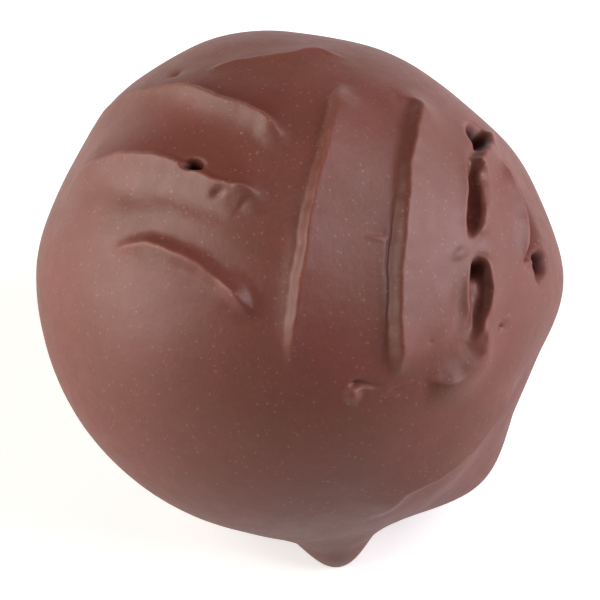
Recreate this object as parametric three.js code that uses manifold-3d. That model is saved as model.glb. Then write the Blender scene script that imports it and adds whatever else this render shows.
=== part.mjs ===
// A hand-dipped chocolate truffle, standing on the flat spot that it set on.
// Millimetres, +Z up. The origin is on the surface that it stands on, under the middle of its ball.
// +X is the truffle's right and -Y its front, where the tail of the dipping chocolate ran out.
import * as THREE from "three";
import { mergeVertices } from "three/addons/utils/BufferGeometryUtils.js";
import Module from "manifold-3d";

// The ball under the fork marks: an egg-smooth ellipsoid, cut by the surface that it set on.
const HALF_WIDTH = 15.9;
const HALF_DEPTH = 15.5;
const HALF_HEIGHT = 14.9;
const MIDDLE_HEIGHT = 12;

// The foot: a low skirt of chocolate that pooled round the base before it set.
const FOOT_HEIGHT = 2.2;
const FOOT_REACH = 0.7;
const FOOT_WAVES = 5;
const FOOT_UNEVENNESS = 0.3;

// Soft swells and hollows of the coat. Each is centred where a line at that azimuth and elevation from the
// ball's middle leaves it. It rises by lift, or sinks where lift is negative, and ends at its size.
const SWELLS = [
  { azimuth: -79, elevation: -44.5, lift: 2.4, size: 3.6 }, // the tail's tip, which set on the plate
  { azimuth: -79, elevation: -35, lift: 0.9, size: 3.8 }, // the neck of the tail
  { azimuth: -80, elevation: -38, lift: 0.5, size: 8 }, // the tail's root
  { azimuth: -36, elevation: -32, lift: 1.5, size: 7 }, // the pooled lobe beside the tail
  { azimuth: -28, elevation: -10, lift: -1.2, size: 9 }, // the flat above the lobe
  { azimuth: -28, elevation: -10, lift: 0.45, size: 4.2 }, // the full front of the right cheek
  { azimuth: 138, elevation: 21, lift: 0.35, size: 5 }, // the shoulder where a fold runs off
  { azimuth: 178, elevation: 12, lift: 0.25, size: 8 }, // the full left cheek
  { azimuth: 168, elevation: 20, lift: -0.4, size: 5 }, // the flat between the left folds
  { azimuth: 52, elevation: 24, lift: -0.8, size: 11 }, // the flat at the back of the right-hand roll
  { azimuth: 62, elevation: 29, lift: 0.4, size: 7 }, // the back end of the right-hand roll
  { azimuth: 112, elevation: 27, lift: 0.6, size: 8 }, // the full back
  { azimuth: 12, elevation: 12, lift: -0.35, size: 6 }, // the flat under the right-hand roll
  { azimuth: 12, elevation: 24, lift: -0.5, size: 4.5 }, // the hollow between the roll and the right cheek
  { azimuth: 3, elevation: 4, lift: 0.3, size: 6 }, // the full right cheek
];

// Small pits that the dipping left, and little curls beside them, seen from above: lift is below 0 in a pit.
const MARKS = [
  { at: [-6.4, 0.2], lift: -0.7, size: 1.2 }, // the pit under the second fold
  { at: [-7.5, 8.5], lift: -0.5, size: 0.9 }, // the pit under the first fold
  { at: [-1.5, 2.4], lift: 0.4, size: 1.3 }, // the curl at the end of the first fold
  { at: [-4, -2.3], lift: 0.4, size: 1.3 }, // the curl at the end of the second fold
  { at: [3.3, -12.2], lift: -0.5, size: 1.1 }, // the nick at the front of the first roll
  { at: [4, -13], lift: 0.3, size: 1.4 }, // the lip under that nick
  { at: [11.1, 4.9], lift: -1, size: 1.4 }, // the hole at the back of the deep trough
  { at: [14.9, -1.6], lift: -0.8, size: 1.5 }, // the hole at the end of the last roll
];

// The ridges that the dipping fork drew. Each crest runs through points seen from above. Going along it, the
// steep wall with its trough is on the left hand, and the long slope is on the right hand.
const RIDGES = [
  { crest: [[-6.2, 7.4], [-3, 9.1], [0.3, 9.6], [3.2, 9.3]], height: 0.4, trough: 0.15, slope: 2.2 },
  { crest: [[-11, 10.2], [-7.3, 7.4], [-3.5, 4.5], [-0.6, 1.6]], height: 0.6, trough: 0.45, slope: 2.4 },
  { crest: [[-13.8, 4.2], [-9.1, 1.9], [-5.6, -0.8], [-2.4, -2.9]], height: 0.6, trough: 0.4, slope: 2.6 },
  { crest: [[-12.1, -3.6], [-9.1, -3.7], [-5.8, -5.8], [-2.8, -9.4]], height: 0.45, trough: 0.5, slope: 2 },
  { crest: [[-1.1, -13.2], [-0.3, -8.5], [0.7, -3.9], [3.8, 7.6]], height: 0.75, trough: 0.25, slope: 4.2 },
  { crest: [[6, -12.1], [6.3, -7.8], [6.7, -2], [7.6, 6.4]], height: 0.7, trough: 0.75, slope: 4 },
  { crest: [[10.6, -8.6], [11.9, -4.5], [11.8, 0.5], [12.2, 6.6]], height: 0.8, trough: 1.3, slope: 2.2 },
  { crest: [[15.1, -4], [14.6, -1.2], [14.3, 2.8]], height: 0.35, trough: 0.5, slope: 2 },
];
const WALL_WIDTH = 0.9;
const TROUGH_WIDTH = 1.2;
const END_TAPER = 2.5;
const CREST_STEPS = 24;

// How finely the ball is divided, and how much closer together its corners are where the ridges lie.
const DIVISIONS = 21;
const CROWDING = 0.5;
const CROWD_AZIMUTH = -10;
const CROWD_ELEVATION = 75;

// An evenly divided ball's longest edge, as a share of its half width over the number of rows.
const EVEN_EDGE = 1.3;

// Corners near a crest or the foot of its wall are drawn on to it, so that the edge runs clean. The pull is
// whole within the first of these shares of an edge's length and ends at the second, and it leaves the third
// share of a corner's distance.
const PULL_WHOLE = 0.45;
const PULL_END = 0.9;
const PULL_LEFT = 0.04;

// Corners closer than this are one corner, and a squared length under the other is nothing.
const MERGE_DISTANCE = 1e-5;
const TINY = 1e-12;

// The unit vector at an azimuth, counted from +X towards +Y, and an elevation, both in degrees.
function directionAt(azimuth, elevation) {
  const polar = THREE.MathUtils.degToRad(90 - elevation);
  const turn = THREE.MathUtils.degToRad(azimuth);
  return new THREE.Vector3(Math.sin(polar) * Math.cos(turn), Math.sin(polar) * Math.sin(turn), Math.cos(polar));
}

// The point of the bare ball in a direction from its middle.
function ballPoint(direction) {
  const reach = 1 / Math.hypot(direction.x / HALF_WIDTH, direction.y / HALF_DEPTH, direction.z / HALF_HEIGHT);
  return direction.clone().multiplyScalar(reach);
}

// The outward normal of the bare ball at one of its points.
function ballNormal(point) {
  const stretch = new THREE.Vector3(HALF_WIDTH ** 2, HALF_DEPTH ** 2, HALF_HEIGHT ** 2);
  return point.clone().divide(stretch).normalize();
}

// The point of the ball's upper half that is seen from above at x, y.
function ballPointUnder([x, y]) {
  const left = 1 - (x / HALF_WIDTH) ** 2 - (y / HALF_DEPTH) ** 2;
  return new THREE.Vector3(x, y, HALF_HEIGHT * Math.sqrt(Math.max(left, 0)));
}

// Turns a direction towards the ridges, so that the triangles there are smaller.
function crowd(direction) {
  const towards = directionAt(CROWD_AZIMUTH, CROWD_ELEVATION);
  const angle = direction.angleTo(towards);
  const axis = new THREE.Vector3().crossVectors(towards, direction);
  if (axis.lengthSq() < TINY) return direction.clone();
  return towards.applyAxisAngle(axis.normalize(), angle - CROWDING * Math.sin(angle));
}

// The usual length of an edge at a corner whose direction was this before the crowding.
function edgeLength(direction) {
  const evenLength = (HALF_WIDTH * EVEN_EDGE) / (DIVISIONS + 1);
  const angle = direction.angleTo(directionAt(CROWD_AZIMUTH, CROWD_ELEVATION));
  return evenLength * (1 - CROWDING * Math.cos(angle));
}

// 1 at distance 0 and 0 from size on, level at both ends.
function fade(distance, size) {
  return 1 - THREE.MathUtils.smoothstep(distance, 0, size);
}

// How far the swells lift the coat at a point of the ball.
function swellLift(point) {
  let lift = 0;
  for (const swell of SWELLS) {
    const centre = ballPoint(directionAt(swell.azimuth, swell.elevation));
    lift += swell.lift * fade(point.distanceTo(centre), swell.size);
  }
  return lift;
}

// How far the foot stands out at a point of the ball.
function footLift(point) {
  const height = point.z + MIDDLE_HEIGHT;
  const wave = Math.sin(FOOT_WAVES * Math.atan2(point.y, point.x));
  return FOOT_REACH * (1 + FOOT_UNEVENNESS * wave) * fade(Math.max(height, 0), FOOT_HEIGHT);
}

// A ridge's crest as points on the ball, evenly spaced.
function crestLine(ridge) {
  const curve = new THREE.CatmullRomCurve3(ridge.crest.map(ballPointUnder));
  return curve.getSpacedPoints(CREST_STEPS);
}

// The height of a ridge's section at a signed distance from its crest, negative on the steep side.
function sectionHeight(ridge, across) {
  if (across >= 0) return ridge.height * fade(across, ridge.slope);
  const outOfTrough = fade(-across - WALL_WIDTH, TROUGH_WIDTH);
  const up = fade(-across, WALL_WIDTH);
  return up * (ridge.height + ridge.trough) - ridge.trough * outOfTrough;
}

// Where a point lies beside a crest line: the nearest point of the line, the signed distance from it, negative
// on the steep side, and the distance along the line to its nearer end.
function besideCrest(line, point) {
  const segment = new THREE.Line3();
  const foot = new THREE.Vector3();
  const step = line[0].distanceTo(line[1]);
  const beside = { foot: new THREE.Vector3(), across: Infinity, toEnd: 0 };
  for (let i = 0; i < line.length - 1; i++) {
    segment.set(line[i], line[i + 1]);
    segment.closestPointToPoint(point, true, foot);
    const distance = foot.distanceTo(point);
    if (distance >= Math.abs(beside.across)) continue;
    const along = segment.delta(new THREE.Vector3()).normalize();
    const rightHand = along.cross(ballNormal(foot));
    const side = Math.sign(rightHand.dot(point.clone().sub(foot))) || 1;
    const travelled = i * step + line[i].distanceTo(foot);
    beside.foot.copy(foot);
    beside.across = side * distance;
    beside.toEnd = Math.min(travelled, (line.length - 1) * step - travelled);
  }
  return beside;
}

// How far a ridge lifts the coat at a point of the ball, with the ridge running out at its two ends.
function ridgeLift(ridge, line, point) {
  const beside = besideCrest(line, point);
  return sectionHeight(ridge, beside.across) * THREE.MathUtils.smoothstep(beside.toEnd, 0, END_TAPER);
}

// How far the small pits and curls lift the coat at a point of the ball.
function markLift(point) {
  return MARKS.reduce((sum, mark) => sum + mark.lift * fade(point.distanceTo(ballPointUnder(mark.at)), mark.size), 0);
}

// A point of the ball, drawn on to a crest or the foot of its wall where it is close to one.
function pullToCrest(line, point, edge) {
  const beside = besideCrest(line, point);
  if (beside.toEnd <= 0 || beside.across === 0) return point;
  for (const edgeLine of [0, -WALL_WIDTH]) {
    const off = beside.across - edgeLine;
    const pull = fade(Math.abs(off) - PULL_WHOLE * edge, (PULL_END - PULL_WHOLE) * edge);
    if (pull === 0) continue;
    const across = edgeLine + off * (1 - (1 - PULL_LEFT) * pull);
    const moved = point.clone().sub(beside.foot).multiplyScalar(across / beside.across).add(beside.foot);
    return ballPoint(moved);
  }
  return point;
}

// The outer skin of the truffle down past the surface that it stands on, as a closed geometry.
function skinGeometry() {
  const lines = RIDGES.map(crestLine);
  const ball = new THREE.IcosahedronGeometry(1, DIVISIONS);
  ball.deleteAttribute("normal");
  ball.deleteAttribute("uv");
  const skin = mergeVertices(ball, MERGE_DISTANCE);
  const corners = skin.getAttribute("position");
  for (let i = 0; i < corners.count; i++) {
    const direction = new THREE.Vector3().fromBufferAttribute(corners, i).normalize();
    const edge = edgeLength(direction);
    const point = lines.reduce((p, line) => pullToCrest(line, p, edge), ballPoint(crowd(direction)));
    const ridges = RIDGES.reduce((sum, ridge, k) => sum + ridgeLift(ridge, lines[k], point), 0);
    const lift = swellLift(point) + footLift(point) + markLift(point) + ridges;
    point.addScaledVector(ballNormal(point), lift);
    corners.setXYZ(i, point.x, point.y, point.z + MIDDLE_HEIGHT);
  }
  return skin;
}

const wasm = await Module();
wasm.setup();

// A closed geometry as a manifold-3d solid.
function solidOf(geometry) {
  const bare = geometry.clone();
  bare.deleteAttribute("normal");
  bare.deleteAttribute("uv");
  const merged = mergeVertices(bare, MERGE_DISTANCE);
  return new wasm.Manifold(
    new wasm.Mesh({
      numProp: 3,
      vertProperties: new Float32Array(merged.getAttribute("position").array),
      triVerts: new Uint32Array(merged.index.array),
    }),
  );
}

// A manifold-3d solid as a geometry.
function geometryOf(solid) {
  const mesh = solid.getMesh();
  const geometry = new THREE.BufferGeometry();
  geometry.setAttribute("position", new THREE.BufferAttribute(mesh.vertProperties, 3));
  geometry.setIndex(new THREE.BufferAttribute(mesh.triVerts, 1));
  geometry.computeVertexNormals();
  return geometry;
}

// Everything below the surface that the truffle stands on.
function groundGeometry() {
  const reach = 4 * HALF_WIDTH;
  return new THREE.BoxGeometry(reach, reach, HALF_HEIGHT).translate(0, 0, -HALF_HEIGHT / 2);
}

const milkChocolate = new THREE.MeshStandardMaterial({
  color: new THREE.Color(0x80584f),
  roughness: 0.42,
  metalness: 0,
});

const truffle = new THREE.Mesh(
  geometryOf(solidOf(skinGeometry()).subtract(solidOf(groundGeometry()))),
  milkChocolate,
);
truffle.name = "truffle";

const part = new THREE.Group();
part.add(truffle);
export default part;
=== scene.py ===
"""A hand-dipped milk chocolate truffle on a pale table.

The coat is one piece. Its crests, folds and pits are placed on a ball by azimuth, counted from +X towards
+Y, and by elevation, both in degrees, as seen from the ball's middle. The classes' sizes are in millimetres.
"""

import logging
import math
from dataclasses import dataclass, field
from enum import Enum
from typing import Iterable, Optional

import bmesh
import bpy
import numpy as np
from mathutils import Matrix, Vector


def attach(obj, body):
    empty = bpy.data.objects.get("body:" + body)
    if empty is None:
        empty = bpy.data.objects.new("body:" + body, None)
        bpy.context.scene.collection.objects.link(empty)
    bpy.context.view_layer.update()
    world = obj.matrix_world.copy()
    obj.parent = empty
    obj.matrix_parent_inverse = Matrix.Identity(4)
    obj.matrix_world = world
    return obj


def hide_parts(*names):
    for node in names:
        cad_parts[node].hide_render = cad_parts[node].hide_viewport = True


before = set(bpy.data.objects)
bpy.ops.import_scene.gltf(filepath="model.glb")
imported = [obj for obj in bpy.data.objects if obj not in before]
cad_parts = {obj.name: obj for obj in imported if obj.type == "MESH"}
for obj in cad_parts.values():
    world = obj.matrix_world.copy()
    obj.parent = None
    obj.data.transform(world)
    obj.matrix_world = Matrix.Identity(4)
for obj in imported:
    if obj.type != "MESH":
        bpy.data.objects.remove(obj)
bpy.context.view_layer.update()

# One millimetre in metres, a distance past any point of the coat, and a length too short to matter.
MM = 0.001
FAR = 1e3
TINY = 1e-6

# Half the breadth of the painted reddish glow along a crest, and of the painted wall shade's fade-in.
CREST_GLOW_BREADTH = 0.22

# One in so many of a line's points is tried first, when the corners near the line are looked for.
SEARCH_STRIDE = 4

# Below this share of the largest move a corner stays where it is.
LEAST_SHARE = 1e-4

# Notes on the coat's corners: painted glow on the crests, painted shade on the walls, painted shade in the
# pits.
NOTES = ("crest", "wall", "hollow")

# The Mix node's sockets for colours: its share, its two colours and its result.
MIX_SHARE = 0
MIX_FIRST = 6
MIX_SECOND = 7
MIX_RESULT = 2

PIECE = "truffle_coat"
NODE = "truffle"
log = logging.getLogger("truffle")

AzEl = tuple[float, float]
Array = np.ndarray


class SteepSide(Enum):
    """The hand on which a ridge falls away steeply, going along its crest."""

    LEFT = -1.0
    RIGHT = 1.0


def deselect_all() -> None:
    """Leaves no object selected, so that the next operator acts on its own piece alone."""
    bpy.ops.object.select_all(action="DESELECT")


def make_only_active(piece: bpy.types.Object) -> None:
    """Selects one piece and makes it the active one."""
    deselect_all()
    piece.select_set(True)
    bpy.context.view_layer.objects.active = piece


def direction(azimuth: float, elevation: float) -> Array:
    """Gives the unit vector at an azimuth and an elevation in degrees."""
    turn, rise = math.radians(azimuth), math.radians(elevation)
    return np.array([math.cos(rise) * math.cos(turn), math.cos(rise) * math.sin(turn), math.sin(rise)])


def smooth_step(values: Array) -> Array:
    """Gives 0 below 0, 1 above 1 and a curve level at both ends between them."""
    t = np.clip(values, 0.0, 1.0)
    return t * t * (3.0 - 2.0 * t)


def fade(distance: Array, size: float) -> Array:
    """Gives 1 at distance 0 and 0 from size on, level at both ends."""
    return 1.0 - smooth_step(distance / size)


@dataclass(frozen=True)
class Ball:
    """The egg-smooth ball under the fork marks."""

    half_width: float = 15.9
    half_depth: float = 15.5
    half_height: float = 14.9
    middle_height: float = 12.0

    @property
    def halves(self) -> Array:
        """The three half sizes as an array."""
        return np.array([self.half_width, self.half_depth, self.half_height])

    @property
    def middle(self) -> Array:
        """The ball's middle in the part's frame."""
        return np.array([0.0, 0.0, self.middle_height])

    def on_ball(self, points: Array) -> Array:
        """Draws points straight towards the middle, or away from it, on to the bare ball.

        Args:
            points: Points counted from the ball's middle, one in each row.

        Returns:
            The points of the bare ball in the same directions.
        """
        reach = np.linalg.norm(points / self.halves, axis=-1, keepdims=True)
        return points / reach

    def normals(self, points: Array) -> Array:
        """Gives the bare ball's outward normals at points of it."""
        normals = points / self.halves**2
        return normals / np.linalg.norm(normals, axis=-1, keepdims=True)


BALL = Ball()


@dataclass(frozen=True)
class Swell:
    """A soft rise of the coat, or a hollow where lift is negative, that ends at its size."""

    azimuth: float
    elevation: float
    lift: float
    size: float


@dataclass(frozen=True, kw_only=True)
class DrawnLine:
    """A line that the dipping fork drew in the coat, through points of the ball."""

    name: str
    path: tuple[AzEl, ...]
    start_taper: float = 2.5
    end_taper: float = 2.5
    taper_breadth: float = 0.8
    wander: float = 0.05
    wander_waves: tuple[float, float] = (3.1, 1.3)
    wander_shares: tuple[float, float] = (0.6, 0.4)
    name_shift: float = 1.7
    unevenness: float = 0.08
    swing_wave: float = 7.3
    curve_steps: int = 24
    # How dark the painted shade on the line's wall is at its start and at its end.
    wall_shade: tuple[float, float] = (0.45, 0.45)

    @property
    def reach(self) -> float:
        """How far from the line the coat is moved."""
        raise NotImplementedError

    def wave(self, travelled: Array) -> Array:
        """Gives an irregular wave between -1 and 1 along the line, which its name's length shifts."""
        shift = self.name_shift * len(self.name)
        long_wave, short_wave = self.wander_waves
        long_share, short_share = self.wander_shares
        slow = np.sin(math.tau * travelled / long_wave + shift)
        quick = np.sin(math.tau * travelled / short_wave + 2.0 * shift)
        return long_share * slow + short_share * quick

    def section(self, across: Array) -> Array:
        """Gives the line's section at signed distances from it."""
        raise NotImplementedError

    def line(self, step: float = 0.3) -> Array:
        """Gives the line as evenly spaced points of the ball, wandering a little from side to side.

        Args:
            step: About how far apart the points are.

        Returns:
            The points, one in each row, counted from the ball's middle.
        """
        knots = np.array([BALL.on_ball(direction(*spot)) for spot in self.path])
        padded = np.vstack([2 * knots[0] - knots[1], knots, 2 * knots[-1] - knots[-2]])
        share = np.linspace(0.0, 1.0, self.curve_steps, endpoint=False)[:, None]
        pieces = []
        for before, start, end, after in zip(padded, padded[1:], padded[2:], padded[3:]):
            bend = (end - before) * share
            bend += (2 * before - 5 * start + 4 * end - after) * share**2
            bend += (3 * start - 3 * end + after - before) * share**3
            pieces.append(start + 0.5 * bend)
        pieces.append(knots[-1][None])
        path = BALL.on_ball(np.vstack(pieces))
        travelled = np.concatenate([[0.0], np.cumsum(np.linalg.norm(np.diff(path, axis=0), axis=1))])
        even = np.linspace(0.0, travelled[-1], math.ceil(travelled[-1] / step) + 1)
        line = np.column_stack([np.interp(even, travelled, path[:, k]) for k in range(3)])
        right_hand = np.cross(np.gradient(line, axis=0), BALL.normals(line))
        right_hand /= np.linalg.norm(right_hand, axis=1, keepdims=True)
        return BALL.on_ball(line + right_hand * (self.wander * self.wave(even))[:, None])

    def beside(self, points: Array) -> tuple[Array, Array, Array]:
        """Measures points of the ball against the line.

        Args:
            points: Points of the bare ball, one in each row.

        Returns:
            The signed distance from the line, above 0 on its right hand, and the distances along the line
            from its start and to its end.
        """
        line = self.line()
        across = np.full(len(points), FAR)
        travelled = np.zeros(len(points))
        step = np.linalg.norm(line[1] - line[0])
        close = np.full(len(points), False)
        nearby = self.reach + (SEARCH_STRIDE - 1) * step
        for spot in line[::SEARCH_STRIDE]:
            close |= np.sum((points - spot) ** 2, axis=1) < nearby**2
        chosen = np.nonzero(close)[0]
        for index, (start, end) in enumerate(zip(line, line[1:])):
            stretch = end - start
            here = chosen[np.sum((points[chosen] - start) ** 2, axis=1) < (self.reach + step) ** 2]
            share = np.clip((points[here] - start) @ stretch / (stretch @ stretch), 0.0, 1.0)
            off = points[here] - (start + share[:, None] * stretch)
            distance = np.linalg.norm(off, axis=1)
            closer = distance < np.abs(across[here])
            right_hand = np.cross(stretch, BALL.normals(start[None])[0])
            side = np.where(off @ right_hand >= 0.0, 1.0, -1.0)
            across[here[closer]] = (side * distance)[closer]
            travelled[here[closer]] = ((index + share) * step)[closer]
        return across, travelled, (len(line) - 1) * step - travelled

    def tint(self, across: Array) -> tuple[Array, Array]:
        """Gives the share of painted reddish glow on the crest and of painted shade on the wall, both from 0
        to 1.
        """
        return np.zeros(len(across)), np.zeros(len(across))

    def drawn_on(self, points: Array) -> tuple[Array, Array, Array]:
        """Draws the line on points of the ball.

        Args:
            points: Points of the bare ball, one in each row.

        Returns:
            How far each point is lifted, its share of painted crest glow and its share of painted wall shade.
        """
        across, from_start, to_end = self.beside(points)
        breadth = self.taper_breadth * np.abs(across)
        run_out = smooth_step(from_start / (self.start_taper + breadth))
        run_out *= smooth_step(to_end / (self.end_taper + breadth))
        crest, wall = self.tint(across)
        swing = 1.0 + self.unevenness * np.sin(math.tau * from_start / self.swing_wave + len(self.name))
        start_shade, end_shade = self.wall_shade
        share = from_start / np.maximum(from_start + to_end, TINY)
        shade = start_shade + (end_shade - start_shade) * share
        return self.section(across) * run_out * swing, crest * run_out, wall * shade * run_out


@dataclass(frozen=True, kw_only=True)
class Ridge(DrawnLine):
    """A ridge: a crest with a long slope on one side, and a steep wall with a trough on the other.

    A trough below 0 is an apron, which runs on from the wall's foot.
    """

    height: float
    slope: float = 2.5
    wall: float = 0.45
    trough: float = 0.3
    trough_width: float = 1.2
    # How far past the crest the painted shade reaches, over the wall and the apron.
    shade_reach: float = 0.0
    # How much of the painted reddish crest glow this ridge gets.
    crest_glow_share: float = 1.0
    steep: SteepSide = SteepSide.LEFT

    @property
    def reach(self) -> float:
        """How far from the crest the coat is moved."""
        return max(self.slope, self.wall + self.trough_width, self.shade_reach)

    def tint(self, across: Array) -> tuple[Array, Array]:
        """Gives the share of painted reddish glow on the thin crest and of painted shade on the wall and past
        it, both from 0 to 1.
        """
        past_crest = self.steep.value * across
        crest = fade(np.abs(past_crest), CREST_GLOW_BREADTH)
        below = np.maximum(past_crest, 0.0)
        on_wall = fade(below, self.wall + CREST_GLOW_BREADTH)
        shaded = np.maximum(on_wall, fade(below, self.shade_reach)) if self.shade_reach else on_wall
        return crest * self.crest_glow_share, smooth_step(past_crest / CREST_GLOW_BREADTH) * shaded

    def section(self, across: Array) -> Array:
        """Gives the ridge's height at signed distances from its crest."""
        away = -self.steep.value * across
        share = np.clip(away / self.slope, 0.0, 1.0)
        slope_side = self.height * (1.0 - share) ** 2
        past_wall = fade(np.maximum(-away - self.wall, 0.0), self.trough_width)
        wall_share = fade(np.maximum(-away, 0.0), self.wall)
        steep_side = wall_share * (self.height + self.trough) - self.trough * past_wall
        return np.where(away >= 0.0, slope_side, steep_side)


@dataclass(frozen=True, kw_only=True)
class Crease(DrawnLine):
    """A narrow groove, where two folds of the coat meet."""

    depth: float
    width: float = 0.4

    @property
    def reach(self) -> float:
        """How far from its line the groove reaches."""
        return self.width / 2.0

    def section(self, across: Array) -> Array:
        """Gives the groove's height at signed distances from its line."""
        return -self.depth * fade(np.abs(across), self.width / 2.0)


@dataclass(frozen=True)
class Mark:
    """A small pit where lift is below 0, or a small curl, with an oval outline turned on the ball."""

    name: str
    azimuth: float
    elevation: float
    lift: float
    length: float
    width: float
    turn: float = 0.0
    flat_floor: float = 0.0

    def frame_at(self) -> tuple[Array, Array, Array]:
        """Gives the mark's centre and its long and short directions on the ball."""
        centre = BALL.on_ball(direction(self.azimuth, self.elevation))
        normal = BALL.normals(centre[None])[0]
        right = np.array([1.0, 0.0, 0.0])
        right = right - (right @ normal) * normal
        right /= np.linalg.norm(right)
        back = np.cross(normal, right)
        turn = math.radians(self.turn)
        long_way = math.cos(turn) * right + math.sin(turn) * back
        return centre, long_way, np.cross(normal, long_way)

    def reach(self, points: Array) -> Array:
        """Gives 0 at the mark's centre and 1 on its outline."""
        centre, long_way, short_way = self.frame_at()
        off = points - centre
        return np.sqrt(
            (off @ long_way / (self.length / 2)) ** 2
            + (off @ short_way / (self.width / 2)) ** 2
            + (np.linalg.norm(off, axis=1) > self.length) * FAR
        )

    def lifted(self, points: Array) -> Array:
        """Gives how far the mark lifts the coat at points of the ball."""
        past_floor = (self.reach(points) - self.flat_floor) / (1.0 - self.flat_floor)
        return self.lift * (1.0 - smooth_step(past_floor))


# Each swell is an azimuth, an elevation, a lift and a size.
SWELLS = (
    Swell(-79, -44.5, 2.4, 3.6),  # the tail's tip
    Swell(-79, -35, 0.9, 3.8),  # the neck of the tail
    Swell(-80, -38, 0.5, 8.0),  # the tail's root
    Swell(-36, -32, 1.5, 7.0),  # the pooled lobe beside the tail
    Swell(-28, -10, -1.2, 9.0),  # the flat above the lobe
    Swell(-28, -10, 0.45, 4.2),  # the full front of the right cheek
    Swell(138, 21, 0.35, 5.0),  # the shoulder where a fold runs off
    Swell(178, 12, 0.25, 8.0),  # the full left cheek
    Swell(168, 20, -0.4, 5.0),  # the flat between the left folds
    Swell(52, 24, -0.8, 11.0),  # the flat at the back of the second roll
    Swell(62, 29, 0.4, 7.0),  # the back end of the second roll
    Swell(112, 27, 0.6, 8.0),  # the full back
    Swell(12, 12, -0.35, 6.0),  # the flat under the second roll
    Swell(12, 24, -0.5, 4.5),  # the hollow between the roll and the right cheek
    Swell(3, 4, 0.3, 6.0),  # the full right cheek
)

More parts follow.
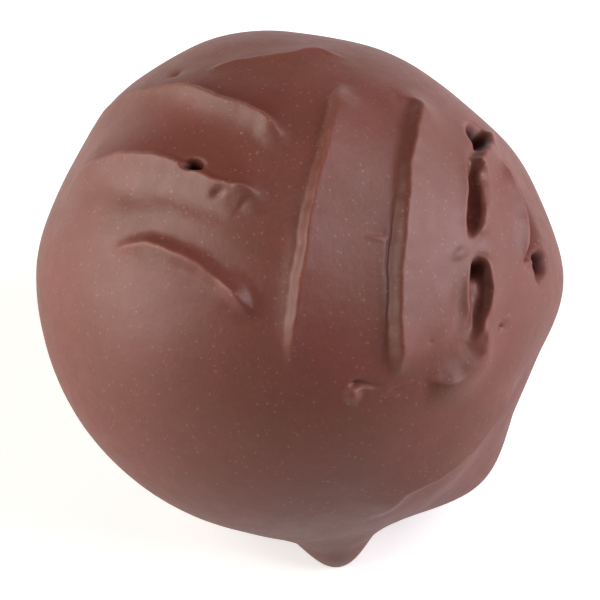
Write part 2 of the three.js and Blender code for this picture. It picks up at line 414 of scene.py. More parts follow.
LINES = (
    Ridge(
        name="back_fold",
        path=((128.5, 53.5), (122, 52.5), (115, 53), (105, 55), (94, 55), (85.5, 52.5), (77, 52.5),
              (70, 53.5)),
        height=0.35, slope=2.6, trough=-0.1, trough_width=1.4, wall_shade=(0.3, 0.3),
    ),
    Ridge(
        name="first_fold",
        path=((144.5, 12), (143.5, 22), (142, 33), (140.5, 43.5), (137.5, 52.5), (136.5, 61), (134.5, 67),
              (130.5, 72.5), (127, 77), (127, 81), (133, 84)),
        height=0.8, slope=2.1, wall=0.35, trough=-0.4, trough_width=3.6, shade_reach=6.0,
        wall_shade=(0.5, 0.6), start_taper=12.0, end_taper=2.0,
    ),
    Ridge(
        name="second_fold",
        path=((167.5, 14), (167, 24), (166.5, 33), (167, 40), (168, 47), (171.5, 55.5), (177.5, 62.5),
              (186.5, 67), (197, 71), (208, 74.5), (219, 76.5), (229, 75.5)),
        height=0.7, slope=2.2, wall=0.35, trough=-0.4, trough_width=3.0, shade_reach=4.5,
        wall_shade=(0.5, 0.55), start_taper=10.0, end_taper=1.7,
    ),
    Ridge(
        name="third_fold",
        path=((198, 40), (200, 45), (205, 50.5), (214.5, 54.5), (227, 56.5), (238.5, 56), (247.5, 54),
              (253, 50.5)),
        height=0.5, slope=2.6, wall=0.8, trough=0.15, trough_width=1.8, end_taper=1.8,
    ),
    Ridge(
        name="first_roll",
        path=((65, 63.5), (62.5, 71), (44, 80), (-37, 84), (-78, 77), (-86.5, 67.5), (-90.5, 57), (-92, 47.5),
              (-93, 39)),
        height=0.76, slope=4.6, wall=0.65, trough=-0.1, steep=SteepSide.RIGHT, wall_shade=(0.7, 0.1),
        end_taper=4.0,
    ),
    Ridge(
        name="first_roll_step",
        path=((-90, 75.5), (-92.5, 67.5), (-94, 57.5), (-94.5, 49), (-95, 41)),
        height=0.12, slope=0.8, wall=0.8, trough=0.0, crest_glow_share=0.0, steep=SteepSide.RIGHT,
        wall_shade=(0.0, 0.0),
    ),
    Ridge(
        name="second_roll",
        path=((42, 59.5), (40.5, 56), (35.5, 55.5), (22.5, 61), (2, 65), (-21, 64), (-38.5, 60),
              (-51.5, 52.5), (-59, 43), (-63, 34)),
        height=0.75, slope=4.0, wall=0.8, trough=0.0, steep=SteepSide.RIGHT, wall_shade=(0.85, 0.1),
        crest_glow_share=0.35, end_taper=1.8,
    ),
    Ridge(
        name="trench_left",
        path=((11.5, 48), (2, 49.5), (-9.5, 49.5), (-19.5, 47.5)),
        height=0.12, slope=1.0, wall=0.35, trough=0.65, trough_width=1.3, start_taper=0.8, end_taper=0.9,
    ),
    Ridge(
        name="trench_right",
        path=((28, 27), (26, 33.5), (15.5, 42.5), (7.5, 46), (-2, 45.5), (-9, 45), (-19, 45.5)),
        height=0.45, slope=1.6, wall=0.6, trough=0.15, trough_width=0.5, steep=SteepSide.RIGHT,
        start_taper=4.0, end_taper=1.2,
    ),
    Ridge(
        name="front_trench_left",
        path=((-23, 44.5), (-29.5, 42), (-35.5, 37.5), (-39.5, 32.5)),
        height=0.1, slope=0.8, wall=0.3, trough=0.35, trough_width=1.1, start_taper=0.6, end_taper=2.2,
    ),
    Ridge(
        name="front_trench_right",
        path=((-21.5, 44.5), (-21.5, 41), (-26, 37), (-32, 34), (-38, 32), (-42.5, 31.5)),
        height=0.5, slope=2.2, wall=0.6, trough=0.2, trough_width=0.6, steep=SteepSide.RIGHT,
        start_taper=1.0, end_taper=1.6,
    ),
    Ridge(
        name="cheek_edge",
        path=((19, 35.5), (8, 34.5), (0, 32), (-7, 31), (-14, 30.5)),
        height=0.48, slope=1.6, wall=0.5, trough=1.0, trough_width=2.2, shade_reach=6.0,
        wall_shade=(0.95, 0.95), start_taper=2.0, end_taper=1.5,
    ),
    Ridge(
        name="front_lip",
        path=((-35, 34), (-37.5, 29.5), (-43, 27.5), (-50, 27.5), (-57, 30.5)),
        height=0.6, slope=1.6, wall=2.2, trough=0.0, crest_glow_share=0.0, start_taper=1.8, end_taper=1.8,
        wall_shade=(0.0, 0.0),
    ),
    Ridge(
        name="foot_fold",
        path=((-72, -10), (-71, -6), (-67.5, 1), (-62, 2.5), (-55.5, 3), (-48, 4), (-41, 5.5), (-34.5, 7),
              (-30.5, 9.5)),
        height=0.45, slope=4.5, wall=1.4, trough=0.2, trough_width=1.8, crest_glow_share=0.0,
        steep=SteepSide.RIGHT, end_taper=3.0, wall_shade=(0.3, 0.1),
    ),
    Ridge(
        name="nick_lip",
        path=((-77.5, 36.5), (-76, 35.5), (-74, 35.3), (-71.5, 34.3), (-67.5, 32)),
        height=0.14, slope=0.9, wall=0.25, trough=0.45, trough_width=0.4, crest_glow_share=0.0,
        start_taper=0.5, end_taper=3.0, wall_shade=(0.9, 0.3),
    ),
    Ridge(
        name="cross_lip",
        path=((-52, 66.5), (-46.5, 64.5), (-43, 62)),
        height=0.1, slope=0.5, wall=0.25, trough=0.05, trough_width=0.3, start_taper=0.8, end_taper=0.6,
        wall_shade=(0.0, 0.0),
    ),
    Crease(
        name="roll_crease",
        path=((-20.5, 66), (-39, 63), (-48.5, 59), (-57, 51.5), (-63.5, 41.5)),
        depth=0.2, width=0.32,
    ),
    Crease(name="end_crease", path=((-68, 31.5), (-65, 32), (-61.5, 32.5)), depth=0.1, start_taper=0.8,
           end_taper=0.8),
    Crease(
        name="soft_hollow",
        path=((180, 38.5), (183, 49), (191.5, 59), (205.5, 66), (225.5, 68)),
        depth=0.16, width=3.6, start_taper=3.0, end_taper=2.5,
    ),
    Crease(name="third_underline", path=((-147.5, 52), (-133.5, 54), (-121, 53.5)), depth=0.06, width=0.8,
           start_taper=1.5, end_taper=1.5),
)

# Each mark is a name, an azimuth, an elevation, a lift, a length, a width, a turn and the share of its half
# width that is flat.
MARKS = (
    Mark("fold_pit", 180, 66, -0.8, 1.8, 0.9, -14, 0.15),
    Mark("fold_pit_floor", 178.5, 66.2, -0.4, 0.9, 0.5, -12, 0.1),
    Mark("small_pit", 131.5, 43.5, -0.4, 0.9, 0.4, 20, 0.2),
    Mark("curl_hollow", -156.5, 69.8, -0.2, 1.5, 0.8, 12),
    Mark("first_end", 134, 81.5, 0.28, 3.2, 2.4, -50),
    Mark("second_end", -139, 75.5, 0.28, 3.0, 2.3, -50),
    Mark("third_end", -115, 56.0, 0.32, 4.2, 2.1, -52),
    Mark("deep_hole", 24, 40, -0.95, 3.2, 2.2, 72, 0.3),
    Mark("deep_hole_low", 18, 42.5, -0.35, 1.6, 1.0, 60, 0.1),
    Mark("bridge_left", 11.5, 46.5, 0.22, 1.2, 0.8, 20),
    Mark("bridge_right", 9, 45, 0.26, 1.2, 0.9, -20),
    Mark("bridge_bead", -25, 47.5, 0.15, 1.8, 1.0, 30),
    Mark("front_hole_top", -25, 41.5, -0.6, 1.8, 1.2, 80, 0.1),
    Mark("front_dish", -37, 40.5, -0.16, 5.6, 1.9, 80),
    Mark("cheek_hole", -7.5, 22, -1.1, 2.5, 1.9, 40, 0.1),
    Mark("cheek_hole_low", -11.5, 22, -0.3, 1.3, 1.0, 0, 0.1),
    Mark("cheek_curl", -10, 27, 0.25, 1.3, 1.0, 20),
    Mark("cheek_dimple", -31, 28, -0.25, 0.8, 0.6, 0, 0.1),
    Mark("cheek_bead", -27.5, 27.5, 0.12, 0.8, 0.5, 20),
    Mark("roll_dimple", -51, 38.5, -0.1, 0.8, 0.5),
    Mark("roll_mark", -26.5, 57.5, -0.04, 1.0, 1.0),
    Mark("nick_bead", -76.3, 34, 0.3, 1.5, 1.3),
)


@dataclass
class TruffleCoat:
    """The whole outer coat of the truffle, from the fork ridges on top to the flat spot that it set on."""

    ball: Ball = BALL
    swells: tuple[Swell, ...] = SWELLS
    lines: tuple[DrawnLine, ...] = LINES
    marks: tuple[Mark, ...] = MARKS
    ball_divisions: int = 7
    foot_height: float = 2.2
    foot_reach: float = 0.7
    foot_waves: int = 5
    foot_unevenness: float = 0.3
    near_ridge: float = 1.2
    near_crest: float = 0.62
    ridge_margin: float = 0.3
    mark_margin: float = 1.3
    # How deep a pit is where the painted shade inside it is at its fullest.
    full_pit_shade_depth: float = 0.8
    softening: int = 13
    softening_share: float = 0.5
    broad_waves: float = 5.0
    broad_unevenness: float = 0.05
    fine_waves: float = 1.3
    fine_unevenness: float = 0.012
    cut_tolerance: float = 1e-7
    sharp_angle: float = 70.0
    piece: Optional[bpy.types.Object] = field(default=None, repr=False)

    def build(self) -> bpy.types.Object:
        """Models the coat.

        Returns:
            The finished piece, which rides on the part's one body.
        """
        self.add_ball()
        self.raise_swells()
        self.refine(self.near_ridge)
        self.refine(self.near_crest)
        self.draw_ridges()
        self.roughen("broad_unevenness", self.broad_waves, self.broad_unevenness)
        self.roughen("fine_unevenness", self.fine_waves, self.fine_unevenness)
        self.soften()
        self.cut_flat_spot()
        self.smooth_shade()
        return self.piece

    def add_ball(self) -> None:
        """Adds the ball and gives it its three sizes."""
        deselect_all()
        bpy.ops.mesh.primitive_ico_sphere_add(
            subdivisions=self.ball_divisions,
            radius=self.ball.half_width * MM,
            location=(0.0, 0.0, self.ball.middle_height * MM),
        )
        self.piece = bpy.context.active_object
        self.piece.name = PIECE
        self.piece.data.name = PIECE
        bpy.ops.object.transform_apply(location=True, rotation=True, scale=True)
        bpy.ops.object.mode_set(mode="EDIT")
        bpy.ops.mesh.select_all(action="SELECT")
        shares = self.ball.halves / self.ball.half_width
        bpy.ops.transform.resize(value=tuple(shares), center_override=tuple(self.ball.middle * MM))
        bpy.ops.object.mode_set(mode="OBJECT")

    def corners(self) -> Array:
        """Gives the piece's corners in millimetres, one in each row."""
        mesh = self.piece.data
        flat = np.empty(len(mesh.vertices) * 3)
        mesh.vertices.foreach_get("co", flat)
        return flat.reshape(-1, 3) / MM

    def ball_points(self) -> Array:
        """Gives the point of the bare ball under each corner, counted from the ball's middle."""
        return self.ball.on_ball(self.corners() - self.ball.middle)

    def select_corners(self, indices: Iterable[int]) -> None:
        """Goes into edit mode with these corners selected, and no others."""
        make_only_active(self.piece)
        bpy.ops.object.mode_set(mode="EDIT")
        bpy.ops.mesh.select_mode(type="VERT")
        bpy.ops.mesh.select_all(action="DESELECT")
        shape = bmesh.from_edit_mesh(self.piece.data)
        shape.verts.ensure_lookup_table()
        for index in indices:
            shape.verts[int(index)].select_set(True)
        shape.select_flush(True)
        bmesh.update_edit_mesh(self.piece.data)

    def apply(self, modifier: bpy.types.Modifier) -> None:
        """Makes a modifier's change part of the mesh."""
        make_only_active(self.piece)
        bpy.ops.object.modifier_apply(modifier=modifier.name)

    def raise_swells(self) -> None:
        """Pulls each swell out of the ball, and pushes each hollow in, with a soft round falloff."""
        corners = self.ball_points()
        for swell in self.swells:
            centre = self.ball.on_ball(direction(swell.azimuth, swell.elevation))
            normal = self.ball.normals(centre[None])[0]
            nearest = int(np.argmin(np.linalg.norm(corners - centre, axis=1)))
            self.select_corners([nearest])
            bpy.ops.transform.translate(
                value=tuple(normal * swell.lift * MM),
                use_proportional_edit=True,
                use_proportional_connected=False,
                proportional_edit_falloff="SMOOTH",
                proportional_size=swell.size * MM,
            )
            bpy.ops.object.mode_set(mode="OBJECT")

    def refine(self, reach: float) -> None:
        """Divides the faces near the crests and the marks once more.

        Args:
            reach: How near to a crest a corner has to be.
        """
        points = self.ball_points()
        near = np.zeros(len(points), dtype=bool)
        for line in self.lines:
            near |= np.abs(line.beside(points)[0]) < min(reach, line.reach + self.ridge_margin)
        for mark in self.marks:
            near |= mark.reach(points) < self.mark_margin
        self.select_corners(np.nonzero(near)[0])
        bpy.ops.mesh.subdivide(number_cuts=1, ngon=False)
        bpy.ops.object.mode_set(mode="OBJECT")

    def displace(self, name: str, amounts: Array) -> None:
        """Moves the corners along their normals, with a vertex group and a Displace modifier.

        Args:
            name: The name of the group and of the modifier.
            amounts: How far each corner moves, in millimetres; all have the same sign.
        """
        largest = float(np.max(np.abs(amounts)))
        if largest <= 0.0:
            return
        sign = 1.0 if amounts[np.argmax(np.abs(amounts))] > 0 else -1.0
        shares = np.abs(amounts) / largest
        group = self.piece.vertex_groups.new(name=name)
        for index in np.nonzero(shares > LEAST_SHARE)[0]:
            group.add([int(index)], float(shares[index]), "REPLACE")
        modifier = self.piece.modifiers.new(name, "DISPLACE")
        modifier.vertex_group = name
        modifier.direction = "NORMAL"
        modifier.mid_level = 0.0
        modifier.strength = sign * largest * MM
        self.apply(modifier)
        self.piece.vertex_groups.remove(self.piece.vertex_groups[name])

    def draw_ridges(self) -> None:
        """Raises the crests, sinks the troughs and the pits, and spreads the foot."""
        points = self.ball_points()
        lift = np.zeros(len(points))
        crest = np.zeros(len(points))
        wall = np.zeros(len(points))
        hollow = np.zeros(len(points))
        for line in self.lines:
            line_lift, line_crest_glow, line_wall_shade = line.drawn_on(points)
            lift += line_lift
            crest = np.maximum(crest, line_crest_glow)
            wall = np.maximum(wall, line_wall_shade)
        # Each pit's depth is kept for the painted shade inside it.
        for mark in self.marks:
            moved = mark.lifted(points)
            lift += moved
            hollow = np.maximum(hollow, -moved)
        # Notes the painted reddish glow on the crests, the painted shade on the walls and the painted shade
        # in the pits.
        for name, values in zip(NOTES, (crest, wall, smooth_step(hollow / self.full_pit_shade_depth))):
            self.note_on_corners(name, values)
        height = points[:, 2] + self.ball.middle_height
        wave = np.sin(self.foot_waves * np.arctan2(points[:, 1], points[:, 0]))
        foot = self.foot_reach * (1.0 + self.foot_unevenness * wave)
        lift += foot * fade(np.maximum(height, 0.0), self.foot_height)
        self.displace("raised", np.maximum(lift, 0.0))
        self.displace("sunk", np.minimum(lift, 0.0))

    def note_on_corners(self, name: str, values: Array) -> None:
        """Keeps a value between 0 and 1 on each corner, for the finish to read."""
        note = self.piece.data.attributes.new(name=name, type="FLOAT", domain="POINT")
        note.data.foreach_set("value", values.astype(np.float32))

    def roughen(self, name: str, size: float, depth: float) -> None:
        """Makes the coat a little uneven.

        Args:
            name: The name of the pattern.
            size: How broad its waves are, in millimetres.
            depth: How high they are, in millimetres.
        """
        waves = bpy.data.textures.new(name, "CLOUDS")
        waves.noise_scale = size * MM
        modifier = self.piece.modifiers.new(name, "DISPLACE")
        modifier.texture = waves
        modifier.texture_coords = "LOCAL"
        modifier.mid_level = 0.5
        modifier.strength = depth * 2.0 * MM
        self.apply(modifier)

    def soften(self) -> None:
        """Rounds the crests and the creases a little, as the setting chocolate did."""
        modifier = self.piece.modifiers.new("soften", "SMOOTH")
        modifier.factor = self.softening_share
        modifier.iterations = self.softening
        self.apply(modifier)

    def cut_flat_spot(self) -> None:
        """Cuts the coat flat where it set on its plate, and closes the cut."""
        make_only_active(self.piece)
        bpy.ops.object.mode_set(mode="EDIT")
        bpy.ops.mesh.select_all(action="SELECT")
        bpy.ops.mesh.bisect(
            plane_co=(0.0, 0.0, 0.0),
            plane_no=(0.0, 0.0, 1.0),
            use_fill=True,
            clear_inner=True,
            clear_outer=False,
            threshold=self.cut_tolerance,
        )
        bpy.ops.mesh.select_all(action="SELECT")
        bpy.ops.mesh.quads_convert_to_tris()
        bpy.ops.mesh.normals_make_consistent(inside=False)
        bpy.ops.object.mode_set(mode="OBJECT")

    def smooth_shade(self) -> None:
        """Shades the coat smooth, with a sharp edge only round the flat spot."""
        make_only_active(self.piece)
        bpy.ops.object.shade_smooth_by_angle(angle=math.radians(self.sharp_angle))

    def dress(self, finish: "MilkChocolate") -> None:
        """Gives the coat its chocolate finish."""
        self.piece.data.materials.clear()
        self.piece.data.materials.append(finish.material())

    def fix_to_frame(self) -> None:
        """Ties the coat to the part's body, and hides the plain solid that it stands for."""
        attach(self.piece, "root")
        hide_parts(NODE)


Colour = tuple[float, float, float]
Masks = dict[str, bpy.types.NodeSocket]


class NodeBench:
    """Places and joins the nodes of one node tree."""

    def __init__(self, tree: bpy.types.NodeTree) -> None:
        """Takes the tree to work on."""
        self.tree = tree

    def node(self, kind: str, inputs: dict[object, object], **settings: object) -> bpy.types.Node:
        """Adds a node.

        Args:
            kind: The node's type.
            inputs: For each input, a socket to join to it or a value to set.
            settings: The node's own settings.

        Returns:
            The new node.
        """
        node = self.tree.nodes.new(kind)
        for name, setting in settings.items():
            setattr(node, name, setting)
        for name, value in inputs.items():
            if isinstance(value, bpy.types.NodeSocket):
                self.tree.links.new(value, node.inputs[name])
            else:
                node.inputs[name].default_value = value
        return node

    def reckon(self, operation: str, first: object, second: object) -> bpy.types.NodeSocket:
        """Adds a Math node on two values or sockets and gives its result."""
        return self.node("ShaderNodeMath", {0: first, 1: second}, operation=operation).outputs[0]

    def plus(self, first: object, second: object) -> bpy.types.NodeSocket:
        """Adds two values or sockets up."""
        return self.reckon("ADD", first, second)

    def times(self, first: object, second: object) -> bpy.types.NodeSocket:
        """Multiplies two values or sockets."""
        return self.reckon("MULTIPLY", first, second)

    def between(self, share: object, low: float, high: float) -> bpy.types.NodeSocket:
        """Gives low where a share is 0 and high where it is 1."""
        return self.plus(self.times(share, high - low), low)

    def spread(self, value: bpy.types.NodeSocket, low: object, high: object) -> bpy.types.NodeSocket:
        """Spreads what lies between two values smoothly over 0 to 1."""
        inputs = {"Value": value, "From Min": low, "From Max": high}
        return self.node("ShaderNodeMapRange", inputs, interpolation_type="SMOOTHSTEP").outputs["Result"]

    def blend(self, share: object, first: object, second: object) -> bpy.types.NodeSocket:
        """Blends two colours and gives the result."""
        inputs = {MIX_SHARE: share}
        for place, colour in ((MIX_FIRST, first), (MIX_SECOND, second)):
            inputs[place] = colour if isinstance(colour, bpy.types.NodeSocket) else (*colour, 1.0)
        return self.node("ShaderNodeMix", inputs, data_type="RGBA").outputs[MIX_RESULT]


def effect_group(name: str, inputs: tuple[tuple[str, str], ...]) -> tuple[bpy.types.NodeTree, NodeBench]:
    """Starts a shader node group that gives one mask.

    Args:
        name: The group's name.
        inputs: The name and the kind of each input.

    Returns:
        The group and a bench to build it on.
    """
    tree = bpy.data.node_groups.new(name, "ShaderNodeTree")
    for label, kind in inputs:
        tree.interface.new_socket(name=label, in_out="INPUT", socket_type=f"NodeSocket{kind}")
    tree.interface.new_socket(name="Mask", in_out="OUTPUT", socket_type="NodeSocketFloat")
    return tree, NodeBench(tree)


CLOUD_MIDDLE = 0.5
CLOUD_ROUGHNESS = 0.55
SMALLEST_SPECK = 0.35
SPECK_CORE = 0.4


def mottle_group() -> bpy.types.NodeTree:
    """Gives the group for soft cloudy patches, built once."""
    if "soft_mottle" in bpy.data.node_groups:
        return bpy.data.node_groups["soft_mottle"]
    tree, bench = effect_group(
        "soft_mottle", (("Vector", "Vector"), ("Scale", "Float"), ("Detail", "Float"), ("Spread", "Float"))
    )
    ask = bench.node("NodeGroupInput", {}).outputs
    cloud = bench.node(
        "ShaderNodeTexNoise",
        {
            "Vector": ask["Vector"],
            "Scale": ask["Scale"],
            "Detail": ask["Detail"],
            "Roughness": CLOUD_ROUGHNESS,
        },
    ).outputs["Fac"]
    low = bench.reckon("SUBTRACT", CLOUD_MIDDLE, ask["Spread"])
    high = bench.plus(CLOUD_MIDDLE, ask["Spread"])
    bench.node("NodeGroupOutput", {"Mask": bench.spread(cloud, low, high)})
    return tree


def speck_group() -> bpy.types.NodeTree:
    """Gives the group for scattered round specks, built once."""
    if "round_specks" in bpy.data.node_groups:
        return bpy.data.node_groups["round_specks"]
    tree, bench = effect_group(
        "round_specks", (("Vector", "Vector"), ("Scale", "Float"), ("Radius", "Float"), ("Share", "Float"))
    )
    ask = bench.node("NodeGroupInput", {}).outputs
    cells = bench.node("ShaderNodeTexVoronoi", {"Vector": ask["Vector"], "Scale": ask["Scale"]})
    chance = bench.node("ShaderNodeSeparateColor", {"Color": cells.outputs["Color"]}).outputs
    radius = bench.times(ask["Radius"], bench.plus(chance[1], SMALLEST_SPECK))
    core = bench.spread(cells.outputs["Distance"], radius, bench.times(radius, SPECK_CORE))
    chosen = bench.reckon("LESS_THAN", chance[0], ask["Share"])
    bench.node("NodeGroupOutput", {"Mask": bench.times(core, chosen)})
    return tree


@dataclass(frozen=True)
class Mottle:
    """Soft cloudy patches: how many to the metre, how finely broken up and how soft their edges."""

    scale: float
    detail: float
    spread: float

    def mask(self, bench: NodeBench, place: bpy.types.NodeSocket) -> bpy.types.NodeSocket:
        """Places the patches' group and gives its mask."""
        group = mottle_group()
        inputs = {"Vector": place, "Scale": self.scale, "Detail": self.detail, "Spread": self.spread}
        return bench.node("ShaderNodeGroup", inputs, node_tree=group).outputs["Mask"]


@dataclass(frozen=True)
class Specks:
    """Scattered specks: how many cells to the metre, a speck's size in one and the share that have one."""

    scale: float
    radius: float
    share: float

    def mask(self, bench: NodeBench, place: bpy.types.NodeSocket) -> bpy.types.NodeSocket:
        """Places the specks' group and gives its mask."""
        group = speck_group()
        inputs = {"Vector": place, "Scale": self.scale, "Radius": self.radius, "Share": self.share}
        return bench.node("ShaderNodeGroup", inputs, node_tree=group).outputs["Mask"]


def new_material(name: str) -> tuple[bpy.types.Material, NodeBench, bpy.types.NodeSocket]:
    """Starts an empty node material.

    Args:
        name: The material's name.

    Returns:
        The material, a bench to build it on and its Object coordinates.
    """
    material = bpy.data.materials.new(name)
    material.use_nodes = True
    material.node_tree.nodes.clear()
    bench = NodeBench(material.node_tree)
    return material, bench, bench.node("ShaderNodeTexCoord", {}).outputs["Object"]


@dataclass(frozen=True)
class MilkChocolate:
    """Satin milk chocolate, a little bloomed, with fine pale specks, painted reddish crest glow and painted
    shade.
    """

    name: str = "milk_chocolate_satin"
    base: Colour = (0.168, 0.047, 0.034)
    browner: Colour = (0.15, 0.048, 0.031)
    darker: Colour = (0.112, 0.03, 0.021)
    bloom: Colour = (0.21, 0.125, 0.11)
    pale_speck: Colour = (0.31, 0.165, 0.12)
    warm_speck: Colour = (0.27, 0.085, 0.045)
    # Painted reddish glow of light through the thin crests, painted shade on the walls, painted shade in the
    # pits.
    crest: Colour = (0.27, 0.085, 0.06)
    wall: Colour = (0.1, 0.024, 0.015)
    hollow: Colour = (0.03, 0.01, 0.009)
    roughness: tuple[float, float] = (0.43, 0.51)
    gloss: float = 0.36
    shaded_gloss: float = 0.06
    glow: float = 0.12
    glow_reach: tuple[float, float, float] = (1.0, 0.35, 0.22)
    glow_depth: float = 1.2
    patterns: tuple[tuple[str, Mottle | Specks], ...] = (
        ("broad", Mottle(210.0, 3.0, 0.16)),
        ("patchy", Mottle(900.0, 4.0, 0.2)),
        ("bloomed", Mottle(95.0, 2.0, 0.14)),
        ("grain", Mottle(3600.0, 3.0, 0.2)),
        ("large", Specks(1900.0, 0.14, 0.6)),
        ("small", Specks(2600.0, 0.24, 0.75)),
        ("warm", Specks(1500.0, 0.1, 0.45)),
    )
    darker_share: float = 0.2
    bloom_share: float = 0.05
    grain_share: float = 0.1
    crest_glow_share: tuple[float, float] = (0.06, 0.35)
    small_share: float = 0.36
    warm_share: float = 0.4
    large_share: float = 0.4
    roughness_shares: tuple[float, float] = (0.6, 0.4)
    relief_shares: tuple[float, float, float] = (0.6, 0.25, 0.2)
    relief_strength: float = 0.5
    relief_depth: float = 0.02

    def material(self) -> bpy.types.Material:
        """Builds the material.

        Returns:
            A node material that reads Object coordinates and the coat's notes of painted glow and painted
            shade.
        """
        material, bench, place = new_material(self.name)
        masks = {name: pattern.mask(bench, place) for name, pattern in self.patterns}
        for name in NOTES:
            masks[name] = bench.node("ShaderNodeAttribute", {}, attribute_name=name).outputs["Fac"]
        patchy, grain = masks["patchy"], masks["grain"]
        colour = self.colour(bench, masks)
        # Reflections are dimmed under the painted shade on the walls and in the pits.
        painted_shade = bench.reckon("MAXIMUM", masks["wall"], masks["hollow"])
        gloss = bench.between(painted_shade, self.gloss, self.shaded_gloss)
        patchy_share, grain_share = self.roughness_shares
        shine = bench.plus(bench.times(patchy, patchy_share), bench.times(grain, grain_share))
        rough = bench.between(shine, *self.roughness)
        patchy_share, grain_share, speck_share = self.relief_shares
        relief = bench.plus(bench.times(patchy, patchy_share), bench.times(grain, grain_share))
        relief = bench.plus(relief, bench.times(masks["small"], speck_share))
        bump = bench.node(
            "ShaderNodeBump",
            {"Strength": self.relief_strength, "Distance": self.relief_depth * MM, "Height": relief},
        )
        shader = bench.node(
            "ShaderNodeBsdfPrincipled",
            {
                "Base Color": colour,
                "Roughness": rough,
                "Normal": bump.outputs["Normal"],
                "Specular IOR Level": gloss,
                "Subsurface Weight": self.glow,
                "Subsurface Radius": self.glow_reach,
                "Subsurface Scale": self.glow_depth * MM,
            },
        )
        bench.node("ShaderNodeOutputMaterial", {"Surface": shader.outputs["BSDF"]})
        return material

    def colour(self, bench: NodeBench, masks: Masks) -> bpy.types.NodeSocket:
        """Builds the colour up in layers, from the coat's own brown to the specks and the painted shade in
        the pits.

        Args:
            bench: The bench of the material.
            masks: The masks of the patterns and of the coat's own notes, by name.

        Returns:
            The finished colour.
        """
        colour = bench.blend(masks["broad"], self.base, self.browner)
        under = (
            ("patchy", self.darker_share, self.darker),
            ("bloomed", self.bloom_share, self.bloom),
            ("grain", self.grain_share, self.bloom),
        )
        for name, share, paint in under:
            colour = bench.blend(bench.times(masks[name], share), colour, paint)
        even_share, patchy_share = self.crest_glow_share
        uneven = bench.plus(bench.times(masks["patchy"], patchy_share), even_share)
        # Painted shade on the walls, then a painted reddish glow along the crests, patchy in strength.
        colour = bench.blend(masks["wall"], colour, self.wall)
        colour = bench.blend(bench.times(masks["crest"], uneven), colour, self.crest)
        over = (
            ("small", self.small_share, self.pale_speck),
            ("warm", self.warm_share, self.warm_speck),
            ("large", self.large_share, self.pale_speck),
        )
        for name, share, paint in over:
            colour = bench.blend(bench.times(masks[name], share), colour, paint)
        # Painted shade in the pits.
        return bench.blend(masks["hollow"], colour, self.hollow)


@dataclass(frozen=True)
class PaleTable:
    """A matt pale table top, with a faint cloudiness."""

    name: str = "pale_table"
    base: Colour = (0.82, 0.82, 0.82)
    shade: Colour = (0.78, 0.78, 0.78)
    roughness: tuple[float, float] = (0.55, 0.65)
    glow: float = 0.12
    seen_glow: float = 0.5
    clouds: Mottle = Mottle(30.0, 3.0, 0.2)

    def material(self) -> bpy.types.Material:
        """Builds the material.

        Returns:
            A node material that reads Object coordinates.
        """
        material, bench, place = new_material(self.name)
        cloudy = self.clouds.mask(bench, place)
        rough = bench.between(cloudy, *self.roughness)
        seen = bench.node("ShaderNodeLightPath", {}).outputs["Is Camera Ray"]
        glow = bench.between(seen, self.glow, self.seen_glow)
        shader = bench.node(
            "ShaderNodeBsdfPrincipled",
            {
                "Base Color": bench.blend(cloudy, self.base, self.shade),
                "Roughness": rough,
                "Emission Color": (1.0, 1.0, 1.0, 1.0),
                "Emission Strength": glow,
            },
        )
        bench.node("ShaderNodeOutputMaterial", {"Surface": shader.outputs["BSDF"]})
        return material


@dataclass(frozen=True)
class SoftLight:
    """A large flat lamp aimed at the truffle."""

    name: str
    azimuth: float
    elevation: float
    power: float
    colour: Colour
    halo: float
    halo_reach: float = 60.0
    distance: float = 330.0
    size: tuple[float, float] = (300.0, 280.0)

    def build(self, target: Vector) -> bpy.types.Object:
        """Hangs the lamp.

        Args:
            target: What the lamp is aimed at, in metres.

        Returns:
            The lamp.
        """
        data = bpy.data.lights.new(self.name, "AREA")
        data.shape = "RECTANGLE"
        data.size = self.size[0] * MM
        data.size_y = self.size[1] * MM
        data.energy = self.power
        data.color = self.colour
        lamp = bpy.data.objects.new(self.name, data)
        bpy.context.scene.collection.objects.link(lamp)
        way = Vector(direction(self.azimuth, self.elevation))
        lamp.location = target + way * self.distance * MM
        lamp.rotation_euler = (-way).to_track_quat("-Z", "Y").to_euler()
        return lamp


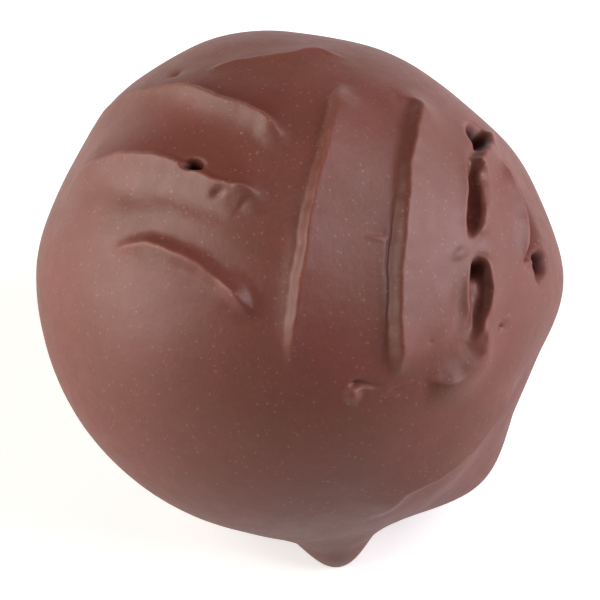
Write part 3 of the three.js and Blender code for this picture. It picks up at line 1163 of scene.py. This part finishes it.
@dataclass
class Studio:
    """The pale table, the soft lights and the camera above the front."""

    camera_elevation: float = 60.0
    camera_distance: float = 305.0
    lens: float = 300.2
    sensor: float = 36.0
    aim_height: float = 12.2
    aim_drop: float = 0.975
    table_size: float = 3000.0
    camera_clip: tuple[float, float] = (10.0, 10000.0)
    wall_glow: float = 0.15
    ceiling_glow: float = 0.03
    ceiling_start: tuple[float, float] = (0.1, 0.75)
    backdrop: float = 0.9
    lights: tuple[SoftLight, ...] = (
        SoftLight("left_softbox", 180.0, 23.0, power=1.72, colour=(1.0, 0.96, 0.89), halo=2.9),
        SoftLight("right_softbox", 5.0, 29.0, power=1.74, colour=(0.98, 0.92, 0.98), halo=2.15),
    )

    def build(self) -> None:
        """Sets up the table, the lights, the sky and the camera."""
        self.lay_table()
        target = Vector((0.0, 0.0, self.aim_height * MM))
        for light in self.lights:
            light.build(target)
        self.fill_sky()
        self.place_camera(target)

    def lay_table(self) -> None:
        """Lays a pale table that the truffle stands on."""
        deselect_all()
        bpy.ops.mesh.primitive_plane_add(size=self.table_size * MM, location=(0.0, 0.0, 0.0))
        table = bpy.context.active_object
        table.name = "table"
        table.data.materials.append(PaleTable().material())

    def fill_sky(self) -> None:
        """Fills the surroundings with an even pale light, brighter round each lamp."""
        world = bpy.data.worlds.new("studio")
        world.use_nodes = True
        bench = NodeBench(world.node_tree)
        way = bench.node("ShaderNodeTexCoord", {}).outputs["Generated"]
        height = bench.node("ShaderNodeSeparateXYZ", {"Vector": way}).outputs["Z"]
        above = bench.spread(height, *self.ceiling_start)
        light = bench.blend(above, [self.wall_glow] * 3, [self.ceiling_glow] * 3)
        for lamp in self.lights:
            centre = tuple(direction(lamp.azimuth, lamp.elevation))
            nearness = bench.node("ShaderNodeVectorMath", {0: way, 1: centre}, operation="DOT_PRODUCT")
            edge = math.cos(math.radians(lamp.halo_reach))
            halo = bench.spread(nearness.outputs["Value"], edge, 1.0)
            glow = bench.blend(halo, [0.0] * 3, [lamp.halo * share for share in lamp.colour])
            light = bench.node("ShaderNodeVectorMath", {0: light, 1: glow}).outputs[0]
        seen = bench.node("ShaderNodeLightPath", {}).outputs["Is Camera Ray"]
        sky = bench.node("ShaderNodeBackground", {"Color": bench.blend(seen, light, [self.backdrop] * 3)})
        bench.node("ShaderNodeOutputWorld", {"Surface": sky.outputs["Background"]})
        bpy.context.scene.world = world

    def place_camera(self, target: Vector) -> None:
        """Places the camera above the front, looking down at the truffle."""
        data = bpy.data.cameras.new("camera")
        data.lens = self.lens
        data.sensor_width = self.sensor
        data.clip_start = self.camera_clip[0] * MM
        data.clip_end = self.camera_clip[1] * MM
        camera = bpy.data.objects.new("camera", data)
        bpy.context.scene.collection.objects.link(camera)
        way = Vector(direction(-90.0, self.camera_elevation))
        rotation = (-way).to_track_quat("-Z", "Y")
        upward = rotation @ Vector((0.0, 1.0, 0.0))
        camera.location = target - upward * self.aim_drop * MM + way * self.camera_distance * MM
        camera.rotation_euler = rotation.to_euler()
        bpy.context.scene.camera = camera


def main() -> None:
    """Builds the truffle and its studio, and reports each piece."""
    logging.basicConfig(level=logging.INFO, format="%(name)s: %(message)s")
    bpy.context.scene.view_settings.view_transform = "Standard"
    coat = TruffleCoat()
    piece = coat.build()
    coat.dress(MilkChocolate())
    coat.fix_to_frame()
    log.info("%s: %d triangles", piece.name, len(piece.data.polygons))
    Studio().build()
    log.info("table, lights and camera are in place")


if __name__ == "__main__":
    main()
